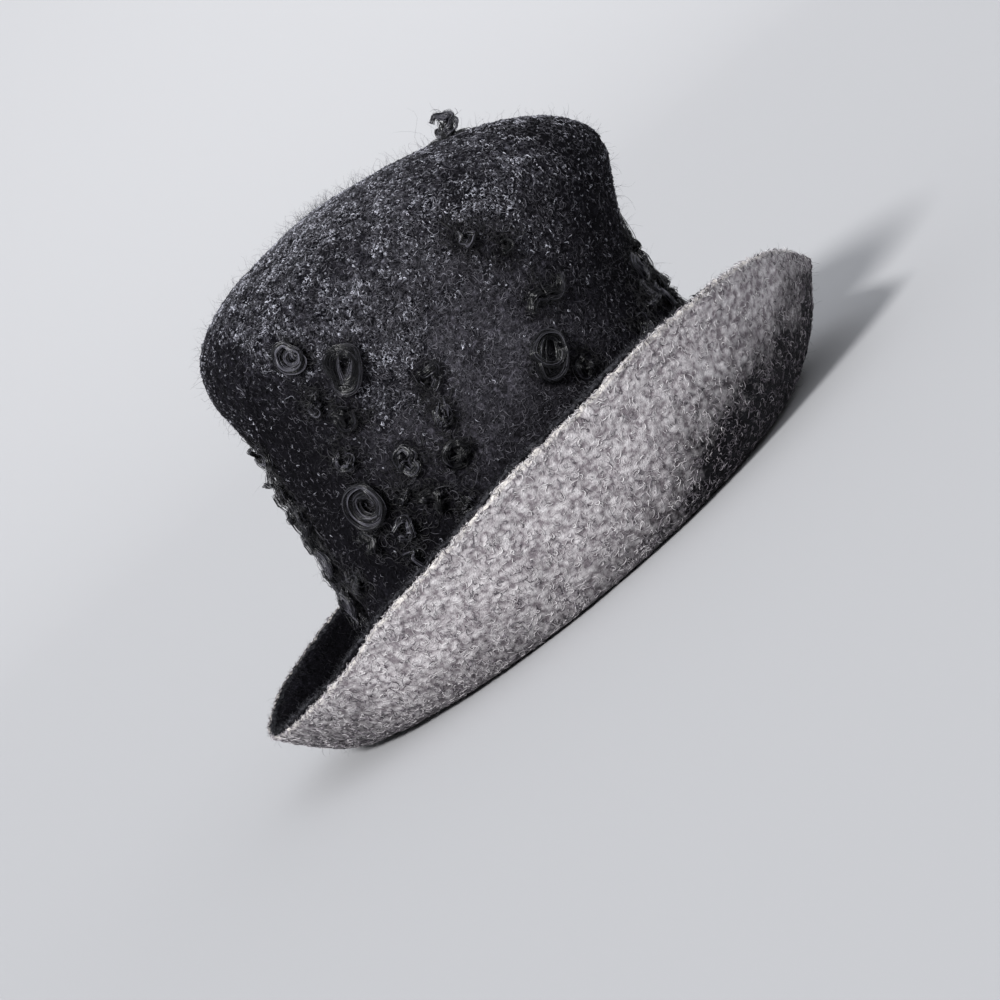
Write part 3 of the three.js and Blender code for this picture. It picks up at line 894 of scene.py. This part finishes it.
def sweatband(material):
    """The ribbon as one strip, ribbed across its width, sewn in along its lower edge."""
    co = coordinates(NODES["sweatband"].data)
    co = co[np.argsort(co[:, 2])]
    middle = (co.max(0) + co.min(0)) / 2
    levels = np.split(co, np.where(np.diff(co[:, 2]) > 5 * MM)[0] + 1)
    count, rows = 1240, 9
    around = np.linspace(0, 2 * math.pi, count, endpoint=False)

    def inner_face(level):
        """How far out and how high the band's inner face is, all round, at one level."""
        away = level[:, :2] - middle[:2]
        reach = np.hypot(*away.T)
        gaps = np.linalg.norm(away[:, None] - away, axis=2)
        gaps[gaps < 0.1 * MM] = 1
        inner = reach < reach[gaps.argmin(1)]
        turn = np.arctan2(away[:, 1], away[:, 0])[inner]
        return [np.interp(around, turn, value[inner], period=2 * math.pi)
                for value in (reach, level[:, 2])]

    rings = np.array([inner_face(level) for level in levels])
    odd = np.where(np.arange(count) % 2, 1, -1)
    verts = []
    for depth, rib in ((0, 0.09 * MM), (0.75 * MM, -0.09 * MM)):
        side = []
        for row in range(rows):
            s = row / (rows - 1) * (len(rings) - 1)
            k = min(int(s), len(rings) - 2)
            reach, z = rings[k] * (k + 1 - s) + rings[k + 1] * (s - k)
            reach = reach + depth + rib * odd
            picot = 0.12 * MM * odd * ((row == rows - 1) - (row == 0))
            side.append(np.stack([middle[0] + reach * np.cos(around),
                                  middle[1] + reach * np.sin(around), z + picot], -1))
        verts.append(side)
    verts = np.concatenate([verts[0], verts[1][::-1]]).reshape(-1, 3)
    k = np.arange(count)
    after = (k + 1) % count
    faces = []
    for row in range(2 * rows):
        a, b = row * count, (row + 1) % (2 * rows) * count
        faces.append(np.stack([a + k, b + k, b + after, a + after], -1))
    mesh = bpy.data.meshes.new("sweatband")
    mesh.from_pydata(verts.tolist(), [], np.concatenate(faces).tolist())
    for face in mesh.polygons:
        face.use_smooth = True
    band = new_piece("sweatband_ribbon", mesh, material)
    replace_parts(band, "sweatband")


# ------------------------------------------------------------------------------ camera and stage

VIEW_WIDTH = 480 * MM           # what the camera takes in at the hat
DISTANCE = 1.1
ELEVATION = math.radians(8)
ROLL = math.radians(40.5)       # the hat is shown leaning over to its front
SENSOR = 36                     # width, in millimetres


def camera():
    """Looks at the hat's left side, a little from above and rolled over."""
    data = bpy.data.cameras.new("camera")
    data.sensor_width = SENSOR
    data.lens = SENSOR * DISTANCE / VIEW_WIDTH
    seen = bpy.data.objects.new("camera", data)
    bpy.context.scene.collection.objects.link(seen)
    target = Vector((CENTRE.x - 14.7 * MM, CENTRE.y - 5.5 * MM, 47.8 * MM))
    towards = Vector((0, math.cos(ELEVATION), -math.sin(ELEVATION)))
    up = Vector((0, math.sin(ELEVATION), math.cos(ELEVATION)))
    right = Vector((1, 0, 0))
    x = math.cos(ROLL) * right - math.sin(ROLL) * up
    y = math.sin(ROLL) * right + math.cos(ROLL) * up
    place = target - towards * DISTANCE
    seen.matrix_world = Matrix.Translation(place) @ Matrix((x, y, -towards)).transposed().to_4x4()
    bpy.context.scene.camera = seen


def backdrop():
    """A pale floor that curves up all round into a wall, so that no edge or horizon shows."""
    flat, rise, drop = 2.2, 2.2, 0.4 * MM
    profile = [(r, 0) for r in np.linspace(0.001, flat, 5)]
    profile += [(flat + rise * math.sin(a), rise * (1 - math.cos(a)))
                for a in np.linspace(0.1, math.pi / 2, 14)]
    bm = bmesh.new()
    sides = 96
    rings = [[bm.verts.new((r * math.cos(2 * math.pi * k / sides),
                            r * math.sin(2 * math.pi * k / sides), z - drop))
              for k in range(sides)] for r, z in profile]
    for low, high in zip(rings, rings[1:]):
        for k in range(sides):
            bm.faces.new((low[k], low[(k + 1) % sides], high[(k + 1) % sides], high[k]))
    mesh = bpy.data.meshes.new("backdrop")
    bm.to_mesh(mesh)
    bm.free()
    for face in mesh.polygons:
        face.use_smooth = True
    shader = Shader("backdrop", 0.9)
    shader.set(**{"Base Color": (0.4, 0.4, 0.41, 1)})
    mesh.materials.append(shader.material)
    floor = bpy.data.objects.new("backdrop", mesh)
    bpy.context.scene.collection.objects.link(floor)


def sun(name, direction, softness, strength):
    """A distant lamp that shines from this direction."""
    data = bpy.data.lights.new(name, "SUN")
    data.angle = math.radians(softness)
    data.energy = strength
    light = bpy.data.objects.new(name, data)
    light.rotation_mode = "QUATERNION"
    light.rotation_quaternion = (-Vector(direction)).to_track_quat("-Z", "Y")
    bpy.context.scene.collection.objects.link(light)


def lights():
    """A soft key from the front left, a weak fill and an even pale sky."""
    sun("key", (-0.75, -1.0, 1.0), 12, 3.7)
    sun("fill", (0.9, -0.9, 0.5), 60, 0.3)
    world = bpy.data.worlds.new("studio")
    world.use_nodes = True
    colour, strength = world.node_tree.nodes["Background"].inputs[:2]
    colour.default_value = (0.92, 0.95, 1.0, 1)
    strength.default_value = 0.85
    bpy.context.scene.world = world
    bpy.context.scene.view_settings.view_transform = "Standard"


# ------------------------------------------------------------------------------------ assembly

DARK = dark_felt()
PALE = pale_felt()
SILK = wool("silk", 0.5, 0.4, (0.0, (0.01, 0.01, 0.014)), (0.4, (0.085, 0.083, 0.1)),
            (1.0, (0.62, 0.625, 0.7)))
HAZE = wool("haze", 0.7, 0.2, (0.0, (0.026, 0.025, 0.03)), (0.5, (0.1, 0.096, 0.112)),
            (1.0, (0.34, 0.33, 0.37)))
NAP = wool("nap", 0.75, 0.15, (0.0, (0.003, 0.003, 0.0045)), (0.5, (0.022, 0.021, 0.026)),
           (1.0, (0.17, 0.165, 0.19)))
# Black wool: the lighter tones of its ramp are partly a painted sheen.
BLACK_WOOL = wool("black_wool", 0.27, 0.65, (0.0, (0.0008, 0.0008, 0.0012)),
                  (0.55, (0.0055, 0.0052, 0.0075)), (1.0, (0.12, 0.117, 0.14)))
WISP = wool("wisp", 0.5, 0.4, (0.0, (0.0015, 0.0015, 0.002)), (0.6, (0.012, 0.0115, 0.0135)),
            (1.0, (0.09, 0.087, 0.1)))
PALE_WOOL = wool("pale_wool", 0.85, 0.2, (0.0, (0.02, 0.02, 0.024)), (0.25, (0.22, 0.195, 0.22)),
                 (0.5, (0.56, 0.53, 0.545)), (1.0, (0.84, 0.82, 0.82)))
HAIR = wool("hair", 0.6, 0.3, (0.0, (0.006, 0.006, 0.008)), (1.0, (0.12, 0.12, 0.135)))
RIBBON = petersham()

CROWN = crown_outside(DARK)
crown_inside(PALE)
BRIM = brim_top(DARK)
UNDERSIDE = brim_underside(PALE)
sweatband(RIBBON)
crown_silk(CROWN, SILK)
crown_nap(CROWN, NAP)
crown_haze(CROWN, HAZE)
silk_threads(CROWN, SILK)
underside_wool(UNDERSIDE, PALE_WOOL)
loose_hair("crown_hair", CROWN, CROWN.shows, 2600, (3 * MM, 9 * MM), HAIR, 6)
loose_hair("brim_hair", BRIM, ramp(-rim_drop(BRIM.points) / MM, -4, -0.5), 4200,
           (0.8 * MM, 3.6 * MM), HAIR, 7)
loose_hair("lip_hair", UNDERSIDE, ramp(-rim_drop(UNDERSIDE.points) / MM, -2.5, -0.3), 3600,
           (0.6 * MM, 2 * MM), PALE_WOOL, 12)
brim_nap(BRIM, NAP)
loose_hair("underside_hair", UNDERSIDE, UNDERSIDE.shows, 2200, (2 * MM, 6 * MM), HAIR, 10)
FROM_TUFT = np.linalg.norm(CROWN.points - np.array(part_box(TUFT)[0]), axis=1)
loose_hair("tuft_hair", CROWN, ramp(-FROM_TUFT / MM, -12, -4), 14, (12 * MM, 26 * MM), HAIR, 11)
ENDS = ramp(np.abs(CROWN.points[:, 0]) / MM, 66, 90) * ramp(-CROWN.points[:, 2] / MM, -135, -115)
loose_hair("end_hair", CROWN, ENDS * CROWN.shows, 260, (5 * MM, 15 * MM), HAIR, 13)
for number, node in enumerate(LOCKS):
    curl_lock(node, CROWN, BLACK_WOOL, number)
bind_locks(CROWN, WISP)
hanging_wool("front_wool", CROWN, -1, (64, 136), 22, 3.6, BLACK_WOOL, 21)
hanging_wool("back_wool", CROWN, 1, (70, 116), 18, 2.0, BLACK_WOOL, 22)
camera()
backdrop()
lights()
